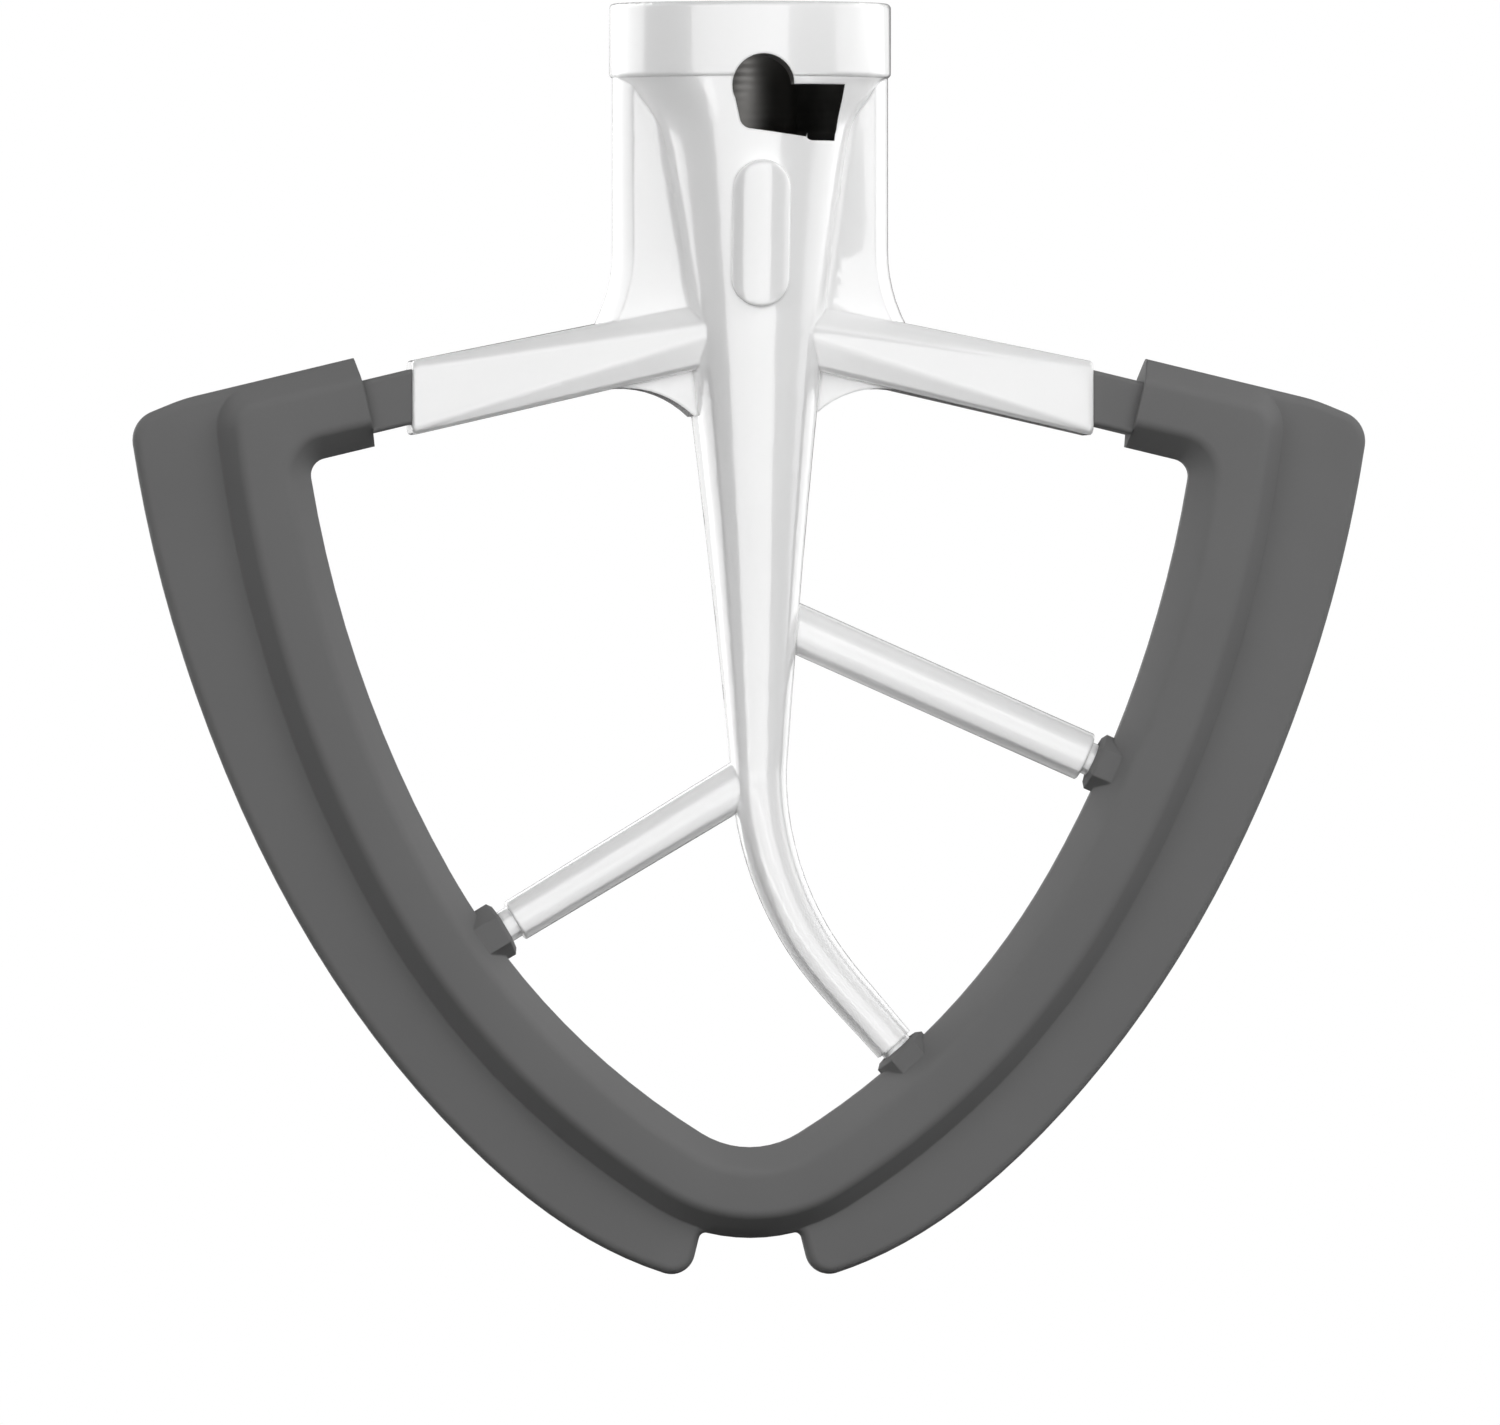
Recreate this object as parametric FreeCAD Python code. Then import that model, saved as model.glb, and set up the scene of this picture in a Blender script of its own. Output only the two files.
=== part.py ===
"""Stand mixer flat beater: a coated metal casting with a soft wiping edge moulded round its rim."""
import FreeCAD
import Part
import math
import os

# The origin is the centre of the drive bore's mouth, on top of the hub. +Z runs up the bore, X is
# along the arms and the front of the beater faces -Y. Drops are measured down from the hub top.

# Hub and drive bore
hub_diameter = 33.2
hub_height = 8.8
hub_edge_round = 0.6
bore_diameter = 12.9
bore_depth = 32.0
keyway_width = 5.0
keyway_reach = 14.2
keyway_turn = 29.0
slot_width = 5.3
slot_top = 9.7
slot_bottom = 16.3
slot_corner_round = 1.4
pocket_diameter = 7.3
pocket_drop = 9.8
passage_depth = 5.8
passage_left_reach = 2.5
passage_left_drop = 14.8
passage_right_reach = 6.2
passage_right_drop = 16.0

# Spine: a tapering column under the hub, then a bend towards the rim
funnel_angle = 45.0
funnel_blend = 0.8
funnel_gap = 0.6
funnel_drop = 22.8
column_top_drop = 15.0
column_top_width = 22.0
column_inset = 0.2
column_bow = 0.5
bend_drop = 90.2
bend_width = 6.4
bend_depth = 8.4
spine_lean = 0.78
bend_radius = 38.9
bend_turn = 40.6
spine_end_width = 4.9
spine_end_depth = 5.4
badge_width = 6.8
badge_height = 17.2
badge_drop = 27.2
badge_rise = 1.2
badge_crown_radius = 4.6
badge_edge_round = 0.5

# Web under the hub cap, with the small gussets below the arms
web_width = 32.6
web_depth = 11.0
web_ridge_depth = 14.0
web_edge_width = 28.6
web_flare_drop = 29.0
web_flare_radius = 19.0
cove_radius = 2.6
cove_top_drop = 13.0
cove_root = 1.5
gusset_depth = 8.0
gusset_radius = 11.4
gusset_reach = 9.7
gusset_drop = 48.6

# Arms
arm_root_reach = 6.0
arm_root_drop = 39.1
arm_root_height = 7.7
arm_root_depth = 18.0
arm_root_shoulder_depth = 12.8
arm_root_face_top = 1.5
arm_root_face_bottom = 0.3
arm_root_round = 1.9
arm_end_reach = 40.3
arm_end_drop = 46.5
arm_end_height = 8.8
arm_end_depth = 8.6
arm_end_edge = 0.75
arm_end_round = 1.1
arm_tip_round = 0.5

# Rim: the window edge is the line that the whole rim is built from
window_half_width = 53.8
side_radius = 139.7
side_center_drop = 33.1
flank_turn = 29.6
flank_radius = 86.7
nose_radius = 11.0
sleeve_slope = 13.5
sleeve_under_drop = 41.5
sleeve_end = 45.7
window_corner_radius = 2.0

# Wiping edge: tube section, fin and notch
tube_width = 10.5
tube_depth = 10.0
tube_land = 1.8
tube_inner_bevel = 2.9
tube_outer_bevel = 2.4
tube_foot_depth = 2.6
tube_edge_round = 1.5
tube_end_round = 0.5
tube_corner_radius = 5.0
tube_corner_root = 5.5
fin_thickness = 3.2
fin_ledge = 0.2
fin_shoulder_width = 9.8
fin_upper_width = 9.2
fin_side_width = 8.5
fin_middle_width = 7.8
fin_lower_width = 7.6
fin_toe_width = 7.0
fin_nose_width = 6.0
fin_brow_reach = 6.6
fin_brow_radius = 20.0
fin_corner_droop = 1.05
fin_corner_radius = 3.6
fin_edge_round = 1.1
notch_width = 11.8
notch_flare = 14.0
notch_corner_radius = 0.8
toe_radius = 2.8
collar_height = 6.3
collar_depth = 8.0
collar_edge_round = 0.6

# Rim loop of the casting, inside the wiping edge
core_height = 4.4
core_depth = 6.0
core_offset = 4.7
core_edge_round = 1.0
core_root = 4.0

# Struts from the spine to the rim: root on the axis, slope, and how they end at the rim
right_strut_drop = 71.1
right_strut_slope = 23.9
right_strut_diameter = 5.8
right_neck_length = 0.85
right_boss_height = 1.45
left_strut_drop = 91.2
left_strut_slope = 31.1
left_strut_diameter = 5.6
left_strut_end_diameter = 5.1
left_neck_length = 1.4
left_boss_height = 1.9
spine_neck_length = 0.6
spine_boss_height = 1.05
neck_diameter = 3.9
boss_width = 6.9
boss_face_width = 5.6
boss_chamfer = 0.45
boss_root = 3.4
boss_sides = 6
strut_edge_round = 0.3

# Fin stations, as turns of the rim's outward direction below the level
fin_stations = [
    (12.0, fin_upper_width),
    (20.0, fin_side_width),
    (31.0, fin_middle_width),
    (45.0, fin_lower_width),
    (57.0, fin_toe_width),
]

DEPTH = FreeCAD.Vector(0, 1, 0)
UP = FreeCAD.Vector(0, 0, 1)

# Distances below which two points, or two edges, count as the same
TINY = 1e-6
CLOSE = 0.05


def point(x, z, y=0.0):
    return FreeCAD.Vector(x, y, z)


def unit(vector):
    return FreeCAD.Vector(vector).normalize()


def mirrored(vector):
    return FreeCAD.Vector(-vector.x, vector.y, vector.z)


def slope_direction(degrees, side=1):
    """Unit vector that runs outwards and down at a slope."""
    angle = math.radians(degrees)
    return point(side * math.cos(angle), -math.sin(angle))


def arc(start, middle, end):
    return Part.Arc(start, middle, end).toShape()


def rounded_wire(corners):
    """Closed outline through corner points, each with its own corner radius."""
    edges = []
    last_end = None
    first_start = None
    count = len(corners)
    for index, (corner, radius) in enumerate(corners):
        back = unit(corners[index - 1][0] - corner)
        ahead = unit(corners[(index + 1) % count][0] - corner)
        half = back.getAngle(ahead) / 2
        start = corner + back * (radius / math.tan(half))
        end = corner + ahead * (radius / math.tan(half))
        if last_end is not None and last_end.distanceToPoint(start) > TINY:
            edges.append(Part.makeLine(last_end, start))
        if radius > 0:
            bisector = unit(back + ahead)
            middle = corner + bisector * (radius / math.sin(half) - radius)
            edges.append(arc(start, middle, end))
        if first_start is None:
            first_start = start
        last_end = end
    if last_end.distanceToPoint(first_start) > TINY:
        edges.append(Part.makeLine(last_end, first_start))
    return Part.Wire(edges)


def prism(wire, vector):
    return Part.Face(wire).extrude(vector)


def across(wire, depth):
    """Solid of a wire in the mid plane, grown equally to the front and the back."""
    return prism(wire.translated(DEPTH * (-depth / 2)), DEPTH * depth)


def edges_along_depth(solid):
    """Straight edges that run from the front to the back."""
    found = []
    for edge in solid.Edges:
        ends = [vertex.Point for vertex in edge.Vertexes]
        if len(ends) == 2 and abs(unit(ends[1] - ends[0]).y) > 1 - TINY:
            found.append(edge)
    return found


# Rim lines

side_center = point(window_half_width - side_radius, -side_center_drop)
to_flank = slope_direction(flank_turn)
flank_center = side_center + to_flank * (side_radius - flank_radius)
nose_fall = math.sqrt((flank_radius - nose_radius) ** 2 - flank_center.x ** 2)
nose_center = point(0, flank_center.z - nose_fall)
to_nose = unit(nose_center - flank_center)
sleeve_run = slope_direction(sleeve_slope)
sleeve_up = point(-sleeve_run.z, sleeve_run.x)

# The three arcs of the right half of the rim, each with the turn it ends at
rim_arcs = [
    (side_center, side_radius, flank_turn),
    (flank_center, flank_radius, math.degrees(math.atan2(-to_nose.z, to_nose.x))),
    (nose_center, nose_radius, 180.0),
]


def sleeve_point(reach, offset):
    """Point of the arm sleeve, at a reach along the arm and an offset from its underside."""
    return point(0, -sleeve_under_drop) + sleeve_run * reach + sleeve_up * offset


def circle_reach(root, run, center, radius):
    """Distance from a root point inside a circle, along a run, to the circle."""
    start = root - center
    along = start.dot(run)
    return -along + math.sqrt(along ** 2 - start.Length ** 2 + radius ** 2)


def reach_at_radius(offset, radius):
    """Reach along the arm where a line at an offset meets a circle round the side arc's centre."""
    return circle_reach(sleeve_point(0, offset), sleeve_run, side_center, radius)


corner_reach = reach_at_radius(-window_corner_radius, side_radius - window_corner_radius)
corner_center = sleeve_point(corner_reach, -window_corner_radius)
to_corner = unit(corner_center - side_center)


def rim_line(offset, start_reach):
    """Open wire along the rim from the right arm to the left, at an offset from the window edge."""
    sleeve_tip = sleeve_point(start_reach, offset)
    corner_top = corner_center + sleeve_up * (window_corner_radius + offset)
    corner_middle = corner_center + unit(sleeve_up + to_corner) * (window_corner_radius + offset)
    side_top = side_center + to_corner * (side_radius + offset)
    side_middle = side_center + unit(to_corner + to_flank) * (side_radius + offset)
    side_low = side_center + to_flank * (side_radius + offset)
    flank_middle = flank_center + unit(to_flank + to_nose) * (flank_radius + offset)
    flank_low = flank_center + to_nose * (flank_radius + offset)
    bottom = nose_center - UP * (nose_radius + offset)
    right = [
        Part.makeLine(sleeve_tip, corner_top),
        arc(corner_top, corner_middle, side_top),
        arc(side_top, side_middle, side_low),
        arc(side_low, flank_middle, flank_low),
    ]
    nose = arc(flank_low, bottom, mirrored(flank_low))
    left = [
        arc(mirrored(flank_low), mirrored(flank_middle), mirrored(side_low)),
        arc(mirrored(side_low), mirrored(side_middle), mirrored(side_top)),
        arc(mirrored(side_top), mirrored(corner_middle), mirrored(corner_top)),
        Part.makeLine(mirrored(corner_top), mirrored(sleeve_tip)),
    ]
    return Part.Wire(right + [nose] + left)


def rim_sweep(profile, offset, start_reach):
    """Solid of a section profile, given as (offset, depth, corner radius), carried along the rim."""
    corners = []
    for away, depth, radius in profile:
        corners.append((sleeve_point(start_reach, away) + DEPTH * depth, radius))
    return rim_line(offset, start_reach).makePipeShell([rounded_wire(corners)], True, False)


def window_edge_reach(root, run):
    """Distance from a root point along a run to the window edge of that side."""
    if run.x < 0:
        root = mirrored(root)
        run = mirrored(run)
    reach = circle_reach(root, run, side_center, side_radius)
    if (root + run * reach - side_center).z > to_flank.z * side_radius:
        return reach
    return circle_reach(root, run, flank_center, flank_radius)


def beyond_window(spot):
    """How far a point of the mid plane, on either half of the rim, lies outside the window edge."""
    right_spot = point(abs(spot.x), spot.z)
    for center, radius, last_turn in rim_arcs:
        spoke = right_spot - center
        if math.degrees(math.atan2(-spoke.z, spoke.x)) <= last_turn:
            break
    return spoke.Length - radius


# Casting

def ring(center, side, half_width, half_depth):
    """Section across a line, with flat sides and a round front and back."""
    front = center - DEPTH * (half_depth - half_width)
    back = center + DEPTH * (half_depth - half_width)
    wide = side * half_width
    deep = DEPTH * half_width
    return Part.Wire([
        arc(front - wide, front - deep, front + wide),
        Part.makeLine(front + wide, back + wide),
        arc(back + wide, back + deep, back - wide),
        Part.makeLine(back - wide, front - wide),
    ])


def taper_half_width(drop):
    """Slightly bowed taper of the column, from its top to the bend."""
    share = (drop - column_top_drop) / (bend_drop - column_top_drop)
    straight = column_top_width + (bend_width - column_top_width) * share
    return straight / 2 - 4 * column_bow * share * (1 - share)


def column_half_width(drop):
    """Taper of the column, blended into the cone under the hub."""
    taper = taper_half_width(drop)
    cone = hub_diameter / 2 - funnel_gap - (drop - hub_height) / math.tan(math.radians(funnel_angle))
    return (taper + cone) / 2 + math.sqrt(((taper - cone) / 2) ** 2 + funnel_blend ** 2)


def column_half_depth(drop):
    """Straight taper from just inside the hub's face to the bend."""
    top = hub_diameter / 2 - column_inset
    return top + (bend_depth / 2 - top) * (drop - hub_height) / (bend_drop - hub_height)


def lean_shift(drop):
    return max(0.0, drop - column_top_drop) * math.tan(math.radians(spine_lean))


def column_ring(drop):
    return ring(point(lean_shift(drop), -drop), point(1, 0), column_half_width(drop), column_half_depth(drop))


def column_part(top, bottom, steps):
    """Part of the column between two drops, through evenly spaced sections."""
    rings = [column_ring(top + (bottom - top) * step / steps) for step in range(steps + 1)]
    return Part.makeLoft(rings, True, False)


def bend_frame():
    """Start of the bend, and the unit vectors down the spine and to its side there."""
    lean = math.radians(spine_lean)
    return point(lean_shift(bend_drop), -bend_drop), point(math.sin(lean), -math.cos(lean))


def spine_line(turn):
    """Point and running direction of the spine after a turn of the bend, in degrees."""
    start, down = bend_frame()
    side = point(-down.z, down.x)
    angle = math.radians(turn)
    spot = start + down * (bend_radius * math.sin(angle)) + side * (bend_radius * (1 - math.cos(angle)))
    return spot, unit(down * math.cos(angle) + side * math.sin(angle))


def spine_end():
    """Root of the last straight run, its direction, and its length to the spine's flat end."""
    root, run = spine_line(bend_turn)
    return root, run, window_edge_reach(root, run) - spine_boss_height - spine_neck_length


def lower_spine():
    """Bend and last straight run of the spine, tapering all the way."""
    root, run, length = spine_end()
    bend_length = math.radians(bend_turn) * bend_radius
    bend_steps = 6
    stops = []
    for step in range(1, bend_steps + 1):
        share = step / bend_steps
        stops.append((spine_line(bend_turn * share), bend_length * share))
    stops += [((root + run * (length * share), run), bend_length + length * share) for share in (0.5, 1.0)]
    rings = [column_ring(bend_drop)]
    for (spot, ahead), travel in stops:
        share = travel / (bend_length + length)
        width = bend_width + (spine_end_width - bend_width) * share
        depth = bend_depth + (spine_end_depth - bend_depth) * share
        rings.append(ring(spot, point(-ahead.z, ahead.x), width / 2, depth / 2))
    return Part.makeLoft(rings, True, False)


def hub_cap():
    cap = Part.makeCylinder(hub_diameter / 2, hub_height, point(0, -hub_height))
    return cap.makeFillet(hub_edge_round, cap.Edges)


def badge():
    """Plain raised pad on the front of the column, crowned across its width."""
    half = badge_width / 2
    rings = []
    for drop in (badge_drop - badge_height, badge_drop + badge_height):
        center = point(lean_shift(badge_drop), -drop)
        rings.append(ring(center, point(1, 0), badge_crown_radius, column_half_depth(drop) + badge_rise))
    skin = Part.makeLoft(rings, True, True)
    top = point(0, -badge_drop + badge_height / 2 - half)
    bottom = point(0, -badge_drop - badge_height / 2 + half)
    wide = point(half, 0)
    outline = Part.Wire([
        arc(top - wide, top + UP * half, top + wide),
        Part.makeLine(top + wide, bottom + wide),
        arc(bottom + wide, bottom - UP * half, bottom - wide),
        Part.makeLine(bottom - wide, top - wide),
    ])
    pad = prism(outline, DEPTH * -hub_diameter).common(skin)
    face = badge_width / 2 - column_half_depth(badge_drop)
    return pad.makeFillet(badge_edge_round, [edge for edge in pad.Edges if edge.CenterOfMass.y < face])


def web_section(drop):
    """Plan outline of the web at a drop: flat faces that slope from a ridge, and rounded sides."""
    fall = max(0.0, drop - web_flare_drop)
    flare = web_flare_radius - math.sqrt(web_flare_radius ** 2 - fall ** 2)
    side = web_width / 2 + flare
    edge = web_edge_width / 2 + flare
    half = web_depth / 2
    ridge = web_ridge_depth / 2
    return Part.Wire([
        arc(point(edge, -drop, -half), point(side, -drop), point(edge, -drop, half)),
        Part.makeLine(point(edge, -drop, half), point(0, -drop, ridge)),
        Part.makeLine(point(0, -drop, ridge), point(-edge, -drop, half)),
        arc(point(-edge, -drop, half), point(-side, -drop), point(-edge, -drop, -half)),
        Part.makeLine(point(-edge, -drop, -half), point(0, -drop, -ridge)),
        Part.makeLine(point(0, -drop, -ridge), point(edge, -drop, -half)),
    ])


def web_bottom():
    """Drop at which the web ends, inside the arms."""
    return arm_root_drop + arm_root_height / 4


def web():
    """Flat wall between the hub cap and the arms, with sides that flare at the arms."""
    flare_steps = 6
    reach = web_bottom() - web_flare_drop
    flare = [web_section(web_flare_drop + reach * step / flare_steps) for step in range(flare_steps + 1)]
    return [
        Part.makeLoft([web_section(hub_height / 2), flare[0]], True, True),
        Part.makeLoft(flare, True, False),
    ]


def cove_section(drop, side, face):
    """Section of the soft corner between the column's flank and the web, on one side and one face."""
    slope = (web_ridge_depth - web_depth) / web_edge_width
    reach = taper_half_width(drop)
    wall = web_ridge_depth / 2 - slope * (reach + cove_radius)
    round_depth = max(0.0, wall + cove_radius - column_half_depth(drop) + reach)
    flank = math.sqrt(reach ** 2 - round_depth ** 2)

    def spot(away, depth):
        return point(lean_shift(drop) + side * (flank + away), -drop, face * (wall + depth))

    lift = cove_radius * (1 - math.sqrt(0.5))
    return Part.Wire([
        arc(spot(cove_radius, 0), spot(lift, lift), spot(0, cove_radius)),
        Part.makeLine(spot(0, cove_radius), spot(-cove_root, cove_radius)),
        Part.makeLine(spot(-cove_root, cove_radius), spot(-cove_root, -cove_root)),
        Part.makeLine(spot(-cove_root, -cove_root), spot(cove_radius, -cove_root)),
        Part.makeLine(spot(cove_radius, -cove_root), spot(cove_radius, 0)),
    ])


def cove(side, face):
    """Soft corner along the column's flank, from inside the cone under the hub to inside the arm."""
    steps = 6
    reach = web_bottom() - cove_top_drop
    sections = [cove_section(cove_top_drop + reach * step / steps, side, face) for step in range(steps + 1)]
    return Part.makeLoft(sections, True, False)


def gusset(side):
    """Small concave wall between an arm and the spine."""
    reach = side * column_half_width(gusset_drop)
    low = point(reach, -gusset_drop)
    root_drop = arm_root_drop + arm_root_height / 2
    slope = (arm_end_drop + arm_end_height / 2 - root_drop) / (arm_end_reach - arm_root_reach)
    tip_reach = abs(reach) + gusset_reach
    tip_drop = root_drop + slope * (tip_reach - arm_root_reach)
    tip = point(side * tip_reach, -tip_drop)
    chord = tip - low
    sag = gusset_radius - math.sqrt(gusset_radius ** 2 - (chord.Length / 2) ** 2)
    inward = unit(point(-side * abs(chord.z), abs(chord.x)))
    middle = low + chord * 0.5 + inward * sag
    top = point(0, -arm_root_drop)
    outline = Part.Wire([
        arc(low, middle, tip),
        Part.makeLine(tip, point(side * tip_reach, -tip_drop + arm_root_height / 2)),
        Part.makeLine(point(side * tip_reach, -tip_drop + arm_root_height / 2), top),
        Part.makeLine(top, point(0, -gusset_drop)),
        Part.makeLine(point(0, -gusset_drop), low),
    ])
    return across(outline, gusset_depth)


def arm(side):
    """Soft bar that changes from bevelled faces at the spine to a rounded rectangle at its end."""
    def section(reach, drop, heights, corner_round):
        ring_points = [point(side * reach, -drop + rise, -wide / 2) for wide, rise in heights]
        ring_points += [point(side * reach, -drop + rise, wide / 2) for wide, rise in reversed(heights)]
        return rounded_wire([(corner, corner_round) for corner in ring_points])

    root = section(arm_root_reach, arm_root_drop, [
        (arm_root_shoulder_depth, arm_root_height / 2),
        (arm_root_depth, arm_root_face_top),
        (arm_root_depth, -arm_root_face_bottom),
        (arm_root_shoulder_depth, -arm_root_height / 2),
    ], arm_root_round)
    shoulder_depth = arm_end_depth - 2 * arm_end_edge
    face = arm_end_height / 2 - arm_end_edge
    end = section(arm_end_reach, arm_end_drop, [
        (shoulder_depth, arm_end_height / 2),
        (arm_end_depth, face),
        (arm_end_depth, -face),
        (shoulder_depth, -arm_end_height / 2),
    ], arm_end_round)
    bar = Part.makeLoft([root, end], True, True)
    tip = [edge for edge in bar.Edges if abs(edge.CenterOfMass.x - side * arm_end_reach) < CLOSE]
    return bar.makeFillet(arm_tip_round, tip)


def strut(root, run, length, diameter, end_diameter):
    """Round bar with a softly rounded flat end."""
    side = point(-run.z, run.x)
    tip = root + run * length
    profile = rounded_wire([
        (root, 0.0),
        (root + side * (diameter / 2), 0.0),
        (tip + side * (end_diameter / 2), strut_edge_round),
        (tip, 0.0),
    ])
    return Part.Face(profile).revolve(root, run, 360)


def strut_lines():
    """Each strut and the spine's end: root, run, flat end and the lengths that follow it."""
    right_root = point(0, -right_strut_drop)
    right_run = slope_direction(right_strut_slope)
    left_root = point(0, -left_strut_drop)
    left_run = slope_direction(left_strut_slope, -1)
    spine_root, spine_run = spine_end()[:2]
    return [
        (right_root, right_run, right_boss_height, right_neck_length),
        (left_root, left_run, left_boss_height, left_neck_length),
        (spine_root, spine_run, spine_boss_height, spine_neck_length),
    ]


def necks():
    """Round necks that join the struts and the spine to the rim loop."""
    found = []
    for root, run, boss_height, neck_length in strut_lines():
        edge = window_edge_reach(root, run)
        start = edge - boss_height - neck_length - core_root
        length = edge + core_offset - start
        found.append(Part.makeCylinder(neck_diameter / 2, length, root + run * start, run))
    return found


def rim_core():
    """Rim loop with its two tenons, which reach into the ends of the arms."""
    low = core_offset - core_height / 2
    high = core_offset + core_height / 2
    half = core_depth / 2
    profile = [(low, -half, core_edge_round), (high, -half, core_edge_round),
               (high, half, core_edge_round), (low, half, core_edge_round)]
    start = arm_end_reach / math.cos(math.radians(sleeve_slope)) - core_root
    return rim_sweep(profile, core_offset, start)


def drive_cuts():
    """Bore, keyway and bayonet slot with the pocket that the drive pin settles in."""
    bore = Part.makeCylinder(bore_diameter / 2, bore_depth + hub_height, point(0, -bore_depth))
    keyway = Part.makeBox(keyway_width, keyway_reach, slot_bottom + hub_height,
                          point(-keyway_width / 2, -slot_bottom, -keyway_reach))
    gate = Part.makeBox(slot_width, hub_diameter, slot_bottom - slot_top,
                        point(-slot_width / 2, -slot_bottom, -hub_diameter))
    low_edges = [edge for edge in edges_along_depth(gate) if edge.CenterOfMass.z < -slot_top - CLOSE]
    gate = gate.makeFillet(slot_corner_round, low_edges)
    front = FreeCAD.Vector(0, -1, 0)
    pocket = Part.makeCylinder(pocket_diameter / 2, hub_diameter, point(0, -pocket_drop), front)
    outline = rounded_wire([
        (point(-pocket_diameter / 2, -pocket_drop), 0.0),
        (point(-passage_left_reach, -passage_left_drop), slot_corner_round),
        (point(passage_right_reach, -passage_right_drop), 0.0),
        (point(passage_right_reach, -slot_top), 0.0),
    ])
    passage = prism(outline.translated(front * passage_depth), front * hub_diameter)
    cuts = [bore, pocket, passage]
    for cut in (keyway, gate):
        cut.rotate(FreeCAD.Vector(0, 0, 0), UP, keyway_turn)
        cuts.append(cut)
    return cuts


def beater_frame():
    funnel_steps = 7
    taper_steps = 10
    right, left = strut_lines()[:2]
    bodies = [column_part(hub_height, funnel_drop, funnel_steps)]
    bodies.append(column_part(funnel_drop, bend_drop, taper_steps))
    bodies += [lower_spine(), badge(), rim_core()] + web()
    bodies += [cove(side, face) for side in (1, -1) for face in (1, -1)]
    bodies += [arm(side) for side in (1, -1)]
    bodies += [gusset(side) for side in (1, -1)]
    for (root, run, boss_height, neck_length), diameter, end_diameter in (
            (right, right_strut_diameter, right_strut_diameter),
            (left, left_strut_diameter, left_strut_end_diameter)):
        length = window_edge_reach(root, run) - boss_height - neck_length
        bodies.append(strut(root, run, length, diameter, end_diameter))
    bodies += necks()
    return hub_cap().fuse(bodies).cut(drive_cuts()).removeSplitter()


# Wiping edge

def tube():
    """Bevelled tube that grips the rim loop."""
    half = tube_depth / 2
    land = tube_land / 2
    foot = tube_foot_depth / 2
    front = [(0.0, land, tube_end_round), (tube_inner_bevel, half, tube_edge_round),
             (tube_width - tube_outer_bevel, half, tube_edge_round), (tube_width, foot, 0.0)]
    back = [(away, -depth, radius) for away, depth, radius in reversed(front)]
    return rim_sweep(front + back, tube_width / 2, sleeve_end)


def tube_corner(side):
    """Outer corner of the tube where the arm sleeve turns down, tighter than the bend of the sweep."""
    inset = tube_width - tube_corner_radius
    center = sleeve_point(reach_at_radius(inset, side_radius + inset), inset)
    to_side = unit(center - side_center)
    sleeve_root = sleeve_point(corner_reach, tube_corner_root)
    side_root = side_center + to_corner * (side_radius + tube_corner_root)

    def outline(offset, depth):
        start = sleeve_point(corner_reach, offset)
        top = center + sleeve_up * (offset - inset)
        middle = center + unit(sleeve_up + to_side) * (offset - inset)
        side_top = center + to_side * (offset - inset)
        side_middle = side_center + unit(to_side + to_corner) * (side_radius + offset)
        end = side_center + to_corner * (side_radius + offset)
        return Part.Wire([
            Part.makeLine(start, top),
            arc(top, middle, side_top),
            arc(side_top, side_middle, end),
            Part.makeLine(end, side_root),
            Part.makeLine(side_root, sleeve_root),
            Part.makeLine(sleeve_root, start),
        ]).translated(DEPTH * depth)

    half = tube_depth / 2
    foot = tube_foot_depth / 2
    brow = tube_width - tube_outer_bevel
    sections = [(brow, -half), (tube_width, -foot), (tube_width, foot), (brow, half)]
    block = Part.makeLoft([outline(offset, depth) for offset, depth in sections], True, True)
    roots = [sleeve_root, side_root]
    brows = []
    for edge in block.Edges:
        ends = [vertex.Point for vertex in edge.Vertexes]
        if all(abs(abs(spot.y) - half) < TINY for spot in ends):
            flat_ends = [point(spot.x, spot.z) for spot in ends]
            if all(spot.distanceToPoint(root) > CLOSE for spot in flat_ends for root in roots):
                brows.append(edge)
    block = block.makeFillet(tube_edge_round, brows)
    return block if side > 0 else block.mirror(FreeCAD.Vector(0, 0, 0), FreeCAD.Vector(1, 0, 0))


def fin_point(turn, width):
    """Point on the fin's outer line, where the rim's outward direction has a turn below the level."""
    center, radius = [(middle, size) for middle, size, last_turn in rim_arcs if turn <= last_turn][0]
    return center + slope_direction(turn) * (radius + tube_width + width)


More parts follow.
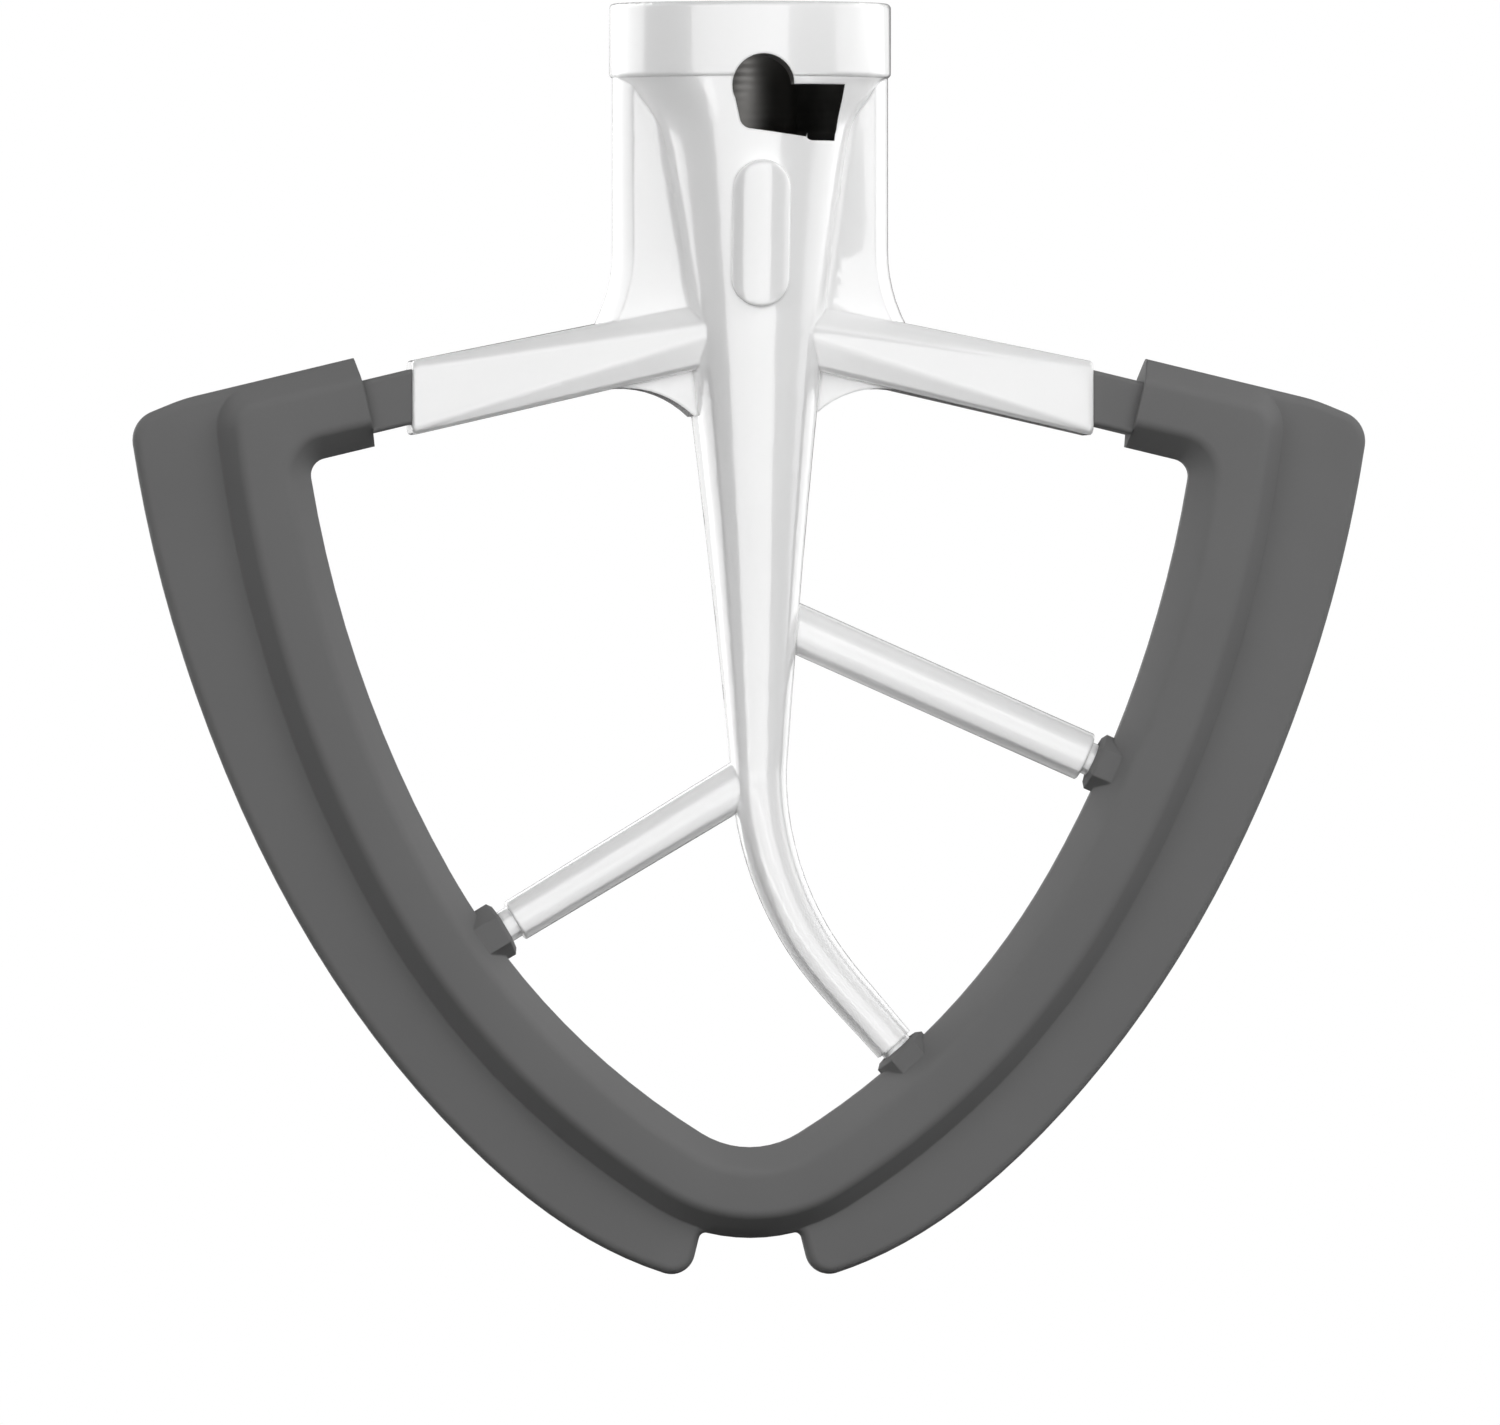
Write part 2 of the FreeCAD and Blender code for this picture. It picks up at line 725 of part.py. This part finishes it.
def fin():
    """Thin blade round the tube, with rounded shoulders and the notch at the lowest point."""
    top = tube_width + fin_ledge
    sleeve_tip = sleeve_point(sleeve_end, top)
    shoulder_radius = side_radius + tube_width + fin_shoulder_width
    brow = sleeve_point(reach_at_radius(top, shoulder_radius) - fin_brow_reach, top)
    low = top - fin_corner_droop
    shoulder = sleeve_point(reach_at_radius(low, shoulder_radius), low)
    right = [shoulder] + [fin_point(turn, width) for turn, width in fin_stations]
    bottom = nose_center - UP * (nose_radius + tube_width + fin_nose_width)
    curve = Part.BSplineCurve()
    curve.interpolate(right + [bottom] + [mirrored(spot) for spot in reversed(right)])
    inner = rim_line(core_offset, sleeve_end)
    inner_tip = sleeve_point(sleeve_end, core_offset)
    outline = Part.Wire(Part.__sortEdges__([
        Part.makeLine(sleeve_tip, brow),
        Part.makeLine(brow, shoulder),
        curve.toShape(),
        Part.makeLine(mirrored(shoulder), mirrored(brow)),
        Part.makeLine(mirrored(brow), mirrored(sleeve_tip)),
        Part.makeLine(mirrored(sleeve_tip), mirrored(inner_tip)),
        Part.makeLine(inner_tip, sleeve_tip),
    ] + inner.Edges))
    blade = across(outline, fin_thickness)
    for corner, radius in ((brow, fin_brow_radius), (shoulder, fin_corner_radius)):
        corners = [edge for edge in edges_along_depth(blade)
                   if abs(abs(edge.CenterOfMass.x) - corner.x) < CLOSE]
        blade = blade.makeFillet(radius, corners)
    blade = blade.cut(notch(top))
    toes = [edge for edge in edges_along_depth(blade)
            if abs(edge.CenterOfMass.x) < notch_width and edge.CenterOfMass.z < bottom.z + fin_nose_width / 2]
    blade = blade.makeFillet(toe_radius, toes)
    outer = []
    for edge in blade.Edges:
        spot = edge.CenterOfMass
        if abs(abs(spot.y) - fin_thickness / 2) < CLOSE and outer_line(edge):
            outer.append(edge)
    return blade.makeFillet(fin_edge_round, outer)


def outer_line(edge):
    """True for an edge on the fin's outer side, from one shoulder round to the other."""
    for share in (0.2, 0.5, 0.8):
        low, high = edge.ParameterRange
        if beyond_window(edge.valueAt(low + (high - low) * share)) < tube_width + fin_ledge + CLOSE:
            return False
    return True


def notch(offset):
    """Cut at the fin's lowest point, from the tube's outer line downwards."""
    radius = nose_radius + offset
    half = notch_width / 2
    deep = fin_nose_width * 2
    top_drop = math.sqrt(radius ** 2 - half ** 2)
    corner = nose_center + point(half, -top_drop)
    low = corner + point(deep * math.tan(math.radians(notch_flare)), -deep)
    outline = Part.Wire([
        arc(mirrored(corner), nose_center - UP * radius, corner),
        Part.makeLine(corner, low),
        Part.makeLine(low, mirrored(low)),
        Part.makeLine(mirrored(low), mirrored(corner)),
    ])
    cutter = across(outline, fin_thickness * 2)
    tops = [edge for edge in edges_along_depth(cutter) if edge.CenterOfMass.z > low.z + deep / 2]
    return cutter.makeFillet(notch_corner_radius, tops)


def collar(side):
    """Short sleeve from the tube's end to the flat end of the arm."""
    rise = collar_height / 2
    half = collar_depth / 2
    corners = []
    for offset, depth in ((-rise, -half), (rise, -half), (rise, half), (-rise, half)):
        corners.append((sleeve_point(sleeve_end, core_offset + offset) + DEPTH * depth, collar_edge_round))
    length = sleeve_end - arm_end_reach / math.cos(math.radians(sleeve_slope)) + collar_height
    body = prism(rounded_wire(corners), sleeve_run * -length)
    low = point(arm_end_reach, -arm_end_drop - 2 * arm_end_height, -collar_depth)
    body = body.common(Part.makeBox(window_half_width, 2 * collar_depth, 4 * arm_end_height, low))
    return body if side > 0 else body.mirror(FreeCAD.Vector(0, 0, 0), FreeCAD.Vector(1, 0, 0))


def boss(root, run, boss_height):
    """Faceted foot round the neck, with flats to the front and the back."""
    edge = window_edge_reach(root, run)
    side = point(-run.z, run.x)

    def hexagon(reach, width):
        corners = []
        for step in range(boss_sides + 1):
            angle = math.radians(360 * step / boss_sides)
            spoke = side * math.cos(angle) + DEPTH * math.sin(angle)
            corners.append(root + run * reach + spoke * (width / 2))
        return Part.makePolygon(corners)

    face = hexagon(edge - boss_height, boss_face_width)
    brow = hexagon(edge - boss_height + boss_chamfer, boss_width)
    foot = hexagon(edge + boss_root, boss_width)
    return Part.makeLoft([face, brow, foot], True, True)


def wiping_edge():
    bodies = [fin()]
    bodies += [tube_corner(side) for side in (1, -1)]
    bodies += [collar(side) for side in (1, -1)]
    bodies += [boss(root, run, boss_height) for root, run, boss_height, neck_length in strut_lines()]
    return tube().fuse(bodies).cut([rim_core()] + necks()).removeSplitter()


def main():
    os.makedirs("parts", exist_ok=True)
    for name, solid in (("beater_frame", beater_frame()), ("wiping_edge", wiping_edge())):
        print(name, "solids", len(solid.Solids), "valid", solid.isValid(), "volume", round(solid.Volume))
        solid.exportStep(f"parts/{name}.step")


main()
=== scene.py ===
"""Looks of the stand mixer flat beater: the coated casting, its soft wiping edge and a plain studio."""
import math

import bpy
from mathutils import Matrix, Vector


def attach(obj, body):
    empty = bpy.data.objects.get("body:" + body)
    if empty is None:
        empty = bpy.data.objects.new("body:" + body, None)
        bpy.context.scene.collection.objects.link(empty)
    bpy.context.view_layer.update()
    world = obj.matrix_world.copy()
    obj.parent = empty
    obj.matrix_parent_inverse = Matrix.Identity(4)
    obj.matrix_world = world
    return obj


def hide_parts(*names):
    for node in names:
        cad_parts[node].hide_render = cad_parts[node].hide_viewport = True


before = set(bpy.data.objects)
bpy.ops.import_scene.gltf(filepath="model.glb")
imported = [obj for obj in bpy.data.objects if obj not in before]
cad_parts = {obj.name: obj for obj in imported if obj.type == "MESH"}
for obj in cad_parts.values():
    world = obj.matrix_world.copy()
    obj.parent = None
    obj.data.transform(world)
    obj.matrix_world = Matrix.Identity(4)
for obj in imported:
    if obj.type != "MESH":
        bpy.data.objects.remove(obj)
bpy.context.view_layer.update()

MM = 0.001

# Camera: the beater is seen level and slightly from the left, through a long lens
PHOTO_WIDTH = 176.7 * MM
VIEW_TURN = math.radians(5.7)
VIEW_HEIGHT = -83.46 * MM
VIEW_DISTANCE = 3.5
SENSOR_WIDTH = 36.0
CLIP_END = 20.0

# Smooth shading: corners of the mesh this close are one, and edges sharper than this angle stay sharp
MERGE_DISTANCE = 0.001 * MM
CREASE_ANGLE = math.radians(28)

# Bare metal: the drive bore, and beside it the keyway, slot and pocket of the drive pin
BORE_RADIUS = 6.6 * MM
BORE_DEPTH = 32.5 * MM
SLOT_RADIUS = 15.0 * MM
SLOT_DEPTH = 17.0 * MM
SLOT_LEFT = -4.2 * MM
SLOT_FRONT = -3.0 * MM
HUB_TOP = -0.05 * MM
FACING_OUT = 0.2

# How far the coat and the mould soften the edges
COAT_EDGE = 0.5 * MM
MOULD_EDGE = 0.35 * MM

# Studio: the floor's place, the share of plain white in it, and the room light from below to above
FLOOR_HEIGHT = -700 * MM
FLOOR_RADIUS = 2.6
FLOOR_CORNERS = 96
FLOOR_GLOW = 0.65
ROOM_BELOW = 0.03
ROOM_ABOVE = 0.22
ROOM_FADE = 0.6


def linear(code):
    """Linear colour of an sRGB hex code."""
    channels = [int(code[start:start + 2], 16) / 255 for start in (1, 3, 5)]
    bent = [value / 12.92 if value <= 0.04045 else ((value + 0.055) / 1.055) ** 2.4 for value in channels]
    return (*bent, 1.0)


def per(size):
    """Scale of a pattern from the real size of one of its cells in millimetres."""
    return 1.0 / (size * MM)


def add(tree, kind, inputs=None, **settings):
    """Adds a node. Its settings are its properties, and its inputs are values or sockets to link."""
    node = tree.nodes.new(kind)
    for name, value in settings.items():
        setattr(node, name, value)
    for name, value in (inputs or {}).items():
        if isinstance(value, bpy.types.NodeSocket):
            tree.links.new(value, node.inputs[name])
        else:
            node.inputs[name].default_value = value
    return node


def new_material(name):
    """Material with an empty node tree."""
    material = bpy.data.materials.new(name)
    material.use_nodes = True
    material.node_tree.nodes.clear()
    return material, material.node_tree


def gloss_coating():
    """Gloss white coating baked on a die casting: bright soft reflections over a faint orange peel."""
    material, tree = new_material("gloss_white_coating")
    place = add(tree, "ShaderNodeTexCoord").outputs["Object"]

    # The coat pools a little unevenly, so tone and gloss drift over a few centimetres
    drift = add(tree, "ShaderNodeTexNoise", {"Vector": place, "Scale": per(26), "Detail": 2.0})
    white = add(tree, "ShaderNodeMix", {"Factor": drift.outputs["Fac"], "A": linear("#F3F3F3"),
                                        "B": linear("#F7F7F7")}, data_type="RGBA")
    shine = add(tree, "ShaderNodeMapRange", {"Value": drift.outputs["Fac"], "From Min": 0.3,
                                             "From Max": 0.7, "To Min": 0.2, "To Max": 0.28})

    # Orange peel is about a millimetre across, and drawn a little deeper than it is so that it shows
    peel = add(tree, "ShaderNodeTexNoise", {"Vector": place, "Scale": per(1.1), "Detail": 1.0})
    soft_edge = add(tree, "ShaderNodeBevel", {"Radius": COAT_EDGE}, samples=4)
    bump = add(tree, "ShaderNodeBump", {"Height": peel.outputs["Fac"], "Strength": 0.05,
                                        "Distance": 0.15 * MM, "Normal": soft_edge.outputs[0]})
    shader = add(tree, "ShaderNodeBsdfPrincipled", {
        "Base Color": white.outputs["Result"],
        "Roughness": shine.outputs["Result"],
        "Normal": bump.outputs["Normal"],
        "IOR": 1.55,
        "Coat Weight": 0.8,
        "Coat Roughness": 0.05,
        "Coat IOR": 1.55,
    })
    add(tree, "ShaderNodeOutputMaterial", {"Surface": shader.outputs["BSDF"]})
    return material


def turned_metal():
    """Bare aluminium left by boring the hub: grey, darkened past bare metal as painted shade of the deep
    bore, with turning marks round the bore.
    """
    material, tree = new_material("bare_turned_aluminium")
    place = add(tree, "ShaderNodeTexCoord").outputs["Object"]
    stain = add(tree, "ShaderNodeTexNoise", {"Vector": place, "Scale": per(5), "Detail": 3.0})
    # The grey is darker than bare aluminium, as painted shade for the depths of the bore, and the stain
    # noise drifts its tone at random
    grey = add(tree, "ShaderNodeMix", {"Factor": stain.outputs["Fac"], "A": linear("#575655"),
                                       "B": linear("#6E6D6B")}, data_type="RGBA")
    rough = add(tree, "ShaderNodeMapRange", {"Value": stain.outputs["Fac"], "From Min": 0.3,
                                             "From Max": 0.7, "To Min": 0.32, "To Max": 0.44})

    # A boring bar's feed is finer than a render shows, so its marks are drawn half a millimetre apart
    marks = add(tree, "ShaderNodeTexWave", {"Vector": place, "Scale": per(0.5) / math.tau,
                                            "Distortion": 1.0}, bands_direction="Z")
    bump = add(tree, "ShaderNodeBump", {"Height": marks.outputs["Fac"], "Strength": 0.2,
                                        "Distance": 0.05 * MM})
    shader = add(tree, "ShaderNodeBsdfPrincipled", {
        "Base Color": grey.outputs["Result"],
        "Metallic": 1.0,
        "Roughness": rough.outputs["Result"],
        "Normal": bump.outputs["Normal"],
    })
    add(tree, "ShaderNodeOutputMaterial", {"Surface": shader.outputs["BSDF"]})
    return material


def moulded_silicone():
    """Grey silicone rubber from an etched mould: matte, with a fine grain and a soft drift of tone."""
    material, tree = new_material("moulded_grey_silicone")
    place = add(tree, "ShaderNodeTexCoord").outputs["Object"]
    drift = add(tree, "ShaderNodeTexNoise", {"Vector": place, "Scale": per(18), "Detail": 3.0})
    grey = add(tree, "ShaderNodeMix", {"Factor": drift.outputs["Fac"], "A": linear("#727272"),
                                       "B": linear("#7A7A7A")}, data_type="RGBA")
    rough = add(tree, "ShaderNodeMapRange", {"Value": drift.outputs["Fac"], "From Min": 0.3,
                                             "From Max": 0.7, "To Min": 0.56, "To Max": 0.66})

    # The etched grain is finer than a render shows, so it is drawn at about half a millimetre
    grain = add(tree, "ShaderNodeTexNoise", {"Vector": place, "Scale": per(0.45), "Detail": 2.0})
    soft_edge = add(tree, "ShaderNodeBevel", {"Radius": MOULD_EDGE}, samples=4)
    bump = add(tree, "ShaderNodeBump", {"Height": grain.outputs["Fac"], "Strength": 0.08,
                                        "Distance": 0.1 * MM, "Normal": soft_edge.outputs[0]})
    shader = add(tree, "ShaderNodeBsdfPrincipled", {
        "Base Color": grey.outputs["Result"],
        "Roughness": rough.outputs["Result"],
        "Normal": bump.outputs["Normal"],
        "IOR": 1.41,
        "Specular IOR Level": 0.03,
    })
    add(tree, "ShaderNodeOutputMaterial", {"Surface": shader.outputs["BSDF"]})
    return material


def smooth_copy(node_name, piece_name, material):
    """Copy of a CAD node with its loose triangles merged and its curved faces shaded smooth."""
    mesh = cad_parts[node_name].data.copy()
    piece = bpy.data.objects.new(piece_name, mesh)
    bpy.context.scene.collection.objects.link(piece)
    bpy.ops.object.select_all(action="DESELECT")
    piece.select_set(True)
    bpy.context.view_layer.objects.active = piece
    bpy.ops.object.mode_set(mode="EDIT")
    bpy.ops.mesh.select_all(action="SELECT")
    bpy.ops.mesh.remove_doubles(threshold=MERGE_DISTANCE)
    bpy.ops.mesh.customdata_custom_splitnormals_clear()
    bpy.ops.object.mode_set(mode="OBJECT")
    bpy.ops.object.shade_smooth_by_angle(angle=CREASE_ANGLE)
    mesh.materials.clear()
    mesh.materials.append(material)
    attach(piece, "root")
    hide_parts(node_name)
    return piece


def in_drive(face):
    """True for a face of the drive bore, or a face of the slot beside it that doesn't point outwards."""
    x, y, z = face.center
    radius = math.hypot(x, y)
    if z > HUB_TOP:
        return False
    if radius < BORE_RADIUS:
        return z > -BORE_DEPTH
    outward = (face.normal.x * x + face.normal.y * y) / radius
    if outward >= FACING_OUT or radius >= SLOT_RADIUS:
        return False
    return z > -SLOT_DEPTH and x > SLOT_LEFT and y < SLOT_FRONT


def bare_drive(piece):
    """Leaves the coat off the drive bore and slot."""
    piece.data.materials.append(turned_metal())
    for face in piece.data.polygons:
        if in_drive(face):
            face.material_index = 1


def rays_that_see_white(tree):
    """One for rays that show the background: seen directly, in a reflection or through glass."""
    path = add(tree, "ShaderNodeLightPath")
    direct = path.outputs["Is Camera Ray"]
    mirrored = path.outputs["Is Glossy Ray"]
    through = path.outputs["Is Transmission Ray"]
    seen = add(tree, "ShaderNodeMath", {0: direct, 1: mirrored}, operation="MAXIMUM")
    return add(tree, "ShaderNodeMath", {0: seen.outputs[0], 1: through}, operation="MAXIMUM").outputs[0]


def studio_floor():
    """Plain pale disc far below the beater: near white where it shows, and it still takes the shadow."""
    bpy.ops.object.select_all(action="DESELECT")
    bpy.ops.mesh.primitive_circle_add(vertices=FLOOR_CORNERS, radius=FLOOR_RADIUS, fill_type="NGON",
                                      location=(0, 0, FLOOR_HEIGHT))
    floor = bpy.context.object
    floor.name = "studio_floor"
    material, tree = new_material("pale_studio_floor")

    # It throws little light back up, so that the undersides stay as dark as they are in the photograph
    shown = rays_that_see_white(tree)
    tone = add(tree, "ShaderNodeMix", {"Factor": shown, "A": linear("#2C2C2C"), "B": linear("#F4F4F4")},
               data_type="RGBA")
    pale = add(tree, "ShaderNodeBsdfDiffuse", {"Color": tone.outputs["Result"]})
    white = add(tree, "ShaderNodeEmission", {"Color": linear("#FFFFFF"), "Strength": 1.0})

    # Plain white is part of the floor's own look, and all of it in a reflection
    glow = add(tree, "ShaderNodeMath", {0: shown, 1: FLOOR_GLOW}, operation="MULTIPLY")
    mirrored = add(tree, "ShaderNodeLightPath").outputs["Is Glossy Ray"]
    share = add(tree, "ShaderNodeMath", {0: glow.outputs[0], 1: mirrored}, operation="MAXIMUM")
    both = add(tree, "ShaderNodeMixShader", {0: share.outputs[0], 1: pale.outputs[0],
                                             2: white.outputs[0]})
    add(tree, "ShaderNodeOutputMaterial", {"Surface": both.outputs[0]})
    floor.data.materials.append(material)


def studio_world():
    """White where the background shows, and a soft room light that fades towards the floor."""
    world = bpy.data.worlds.new("studio_room")
    bpy.context.scene.world = world
    world.use_nodes = True
    tree = world.node_tree
    tree.nodes.clear()
    direction = add(tree, "ShaderNodeTexCoord").outputs["Generated"]
    way = add(tree, "ShaderNodeSeparateXYZ", {"Vector": direction})
    level = add(tree, "ShaderNodeMapRange", {"Value": way.outputs["Z"], "From Min": -ROOM_FADE,
                                             "From Max": ROOM_FADE, "To Min": ROOM_BELOW,
                                             "To Max": ROOM_ABOVE})
    room = add(tree, "ShaderNodeBackground", {"Color": linear("#FFFFFF"),
                                              "Strength": level.outputs["Result"]})
    white = add(tree, "ShaderNodeBackground", {"Color": linear("#FFFFFF"), "Strength": 1.0})
    both = add(tree, "ShaderNodeMixShader", {0: rays_that_see_white(tree), 1: room.outputs[0],
                                             2: white.outputs[0]})
    add(tree, "ShaderNodeOutputWorld", {"Surface": both.outputs[0]})


def facing(turn, rise, distance):
    """Place at a turn to the right and a rise, in degrees, and the rotation that faces the beater."""
    around = math.radians(turn)
    up = math.radians(rise)
    away = Vector((math.sin(around) * math.cos(up), -math.cos(around) * math.cos(up), math.sin(up)))
    return away * distance + Vector((0, 0, VIEW_HEIGHT)), away.to_track_quat("Z", "Y").to_euler()


def softbox(name, turn, rise, distance, width, height, glow):
    """Rectangular lamp that faces the middle of the beater. Its glow is 1 where it looks plain white."""
    lamp = bpy.data.lights.new(name, "AREA")
    lamp.shape = "RECTANGLE"
    lamp.size = width
    lamp.size_y = height
    lamp.energy = glow * math.pi * width * height
    body = bpy.data.objects.new(name, lamp)
    bpy.context.scene.collection.objects.link(body)
    body.location, body.rotation_euler = facing(turn, rise, distance)
    body.visible_camera = False
    return body


def flag_cloth():
    """Dull grey cloth of the flags."""
    material, tree = new_material("grey_flag_cloth")
    cloth = add(tree, "ShaderNodeBsdfDiffuse", {"Color": linear("#606060")})
    add(tree, "ShaderNodeOutputMaterial", {"Surface": cloth.outputs["BSDF"]})
    return material


def flag(name, material, turn, rise, distance, width, height):
    """Dark panel, placed as a softbox is, that draws the edges of the white coat in its reflections."""
    spot, tilt = facing(turn, rise, distance)
    bpy.ops.object.select_all(action="DESELECT")
    bpy.ops.mesh.primitive_plane_add(size=1.0, location=spot, rotation=tilt)
    panel = bpy.context.object
    panel.name = name
    panel.scale = (width, height, 1.0)
    panel.data.materials.append(material)
    panel.visible_camera = False
    panel.visible_shadow = False


def camera():
    """Level camera at the photograph's viewing angle, wide enough for its whole frame."""
    data = bpy.data.cameras.new("product_camera")
    data.sensor_width = SENSOR_WIDTH
    data.sensor_fit = "HORIZONTAL"
    data.lens = SENSOR_WIDTH * VIEW_DISTANCE / PHOTO_WIDTH
    data.clip_end = CLIP_END
    body = bpy.data.objects.new("product_camera", data)
    bpy.context.scene.collection.objects.link(body)
    aside = -VIEW_DISTANCE * math.sin(VIEW_TURN)
    ahead = -VIEW_DISTANCE * math.cos(VIEW_TURN)
    body.location = (aside, ahead, VIEW_HEIGHT)
    body.rotation_euler = (math.pi / 2, 0, -VIEW_TURN)
    bpy.context.scene.camera = body


coated_frame = smooth_copy("beater_frame", "coated_beater_frame", gloss_coating())
bare_drive(coated_frame)
smooth_copy("wiping_edge", "silicone_wiping_edge", moulded_silicone())

studio_floor()
studio_world()

# Lamps, by turn and rise in degrees, distance, width and height in metres, and glow.
# The key and fill shade the beater from the right and the left, and stay out of its reflections
softbox("key_softbox", 38, 27, 1.0, 0.8, 0.7, 2.8).visible_glossy = False
softbox("fill_softbox", -36, 15, 1.3, 1.2, 0.7, 2.65).visible_glossy = False

# The reflectors draw the bright bands on the coat, and shade nothing
softbox("front_reflector", -14, 13, 1.4, 2.4, 1.1, 2.3).visible_diffuse = False
softbox("low_front_reflector", -14, -19, 1.4, 2.4, 0.6, 2.9).visible_diffuse = False
softbox("table_reflector", 0, -62, 0.6, 1.6, 1.0, 2.4).visible_diffuse = False

# The side lamps light the flanks, and the back lamp the side that the camera doesn't see
softbox("right_softbox", 104, 16, 1.2, 1.7, 1.2, 1.4)
softbox("left_softbox", -132, 16, 1.2, 1.4, 1.2, 2.0)
softbox("back_softbox", 172, 20, 1.5, 1.3, 1.0, 1.0).visible_glossy = False

# Flags, placed in the same way: one greys the upward facets, and two behind draw the outlines
dull_grey = flag_cloth()
flag("ceiling_flag", dull_grey, 0, 90, 0.9, 1.8, 1.6)
flag("rear_right_flag", dull_grey, 166, 0, 1.2, 0.4, 1.4)
flag("rear_flag", dull_grey, 179, 0, 1.2, 0.16, 1.4)

camera()
bpy.context.scene.view_settings.view_transform = "Standard"
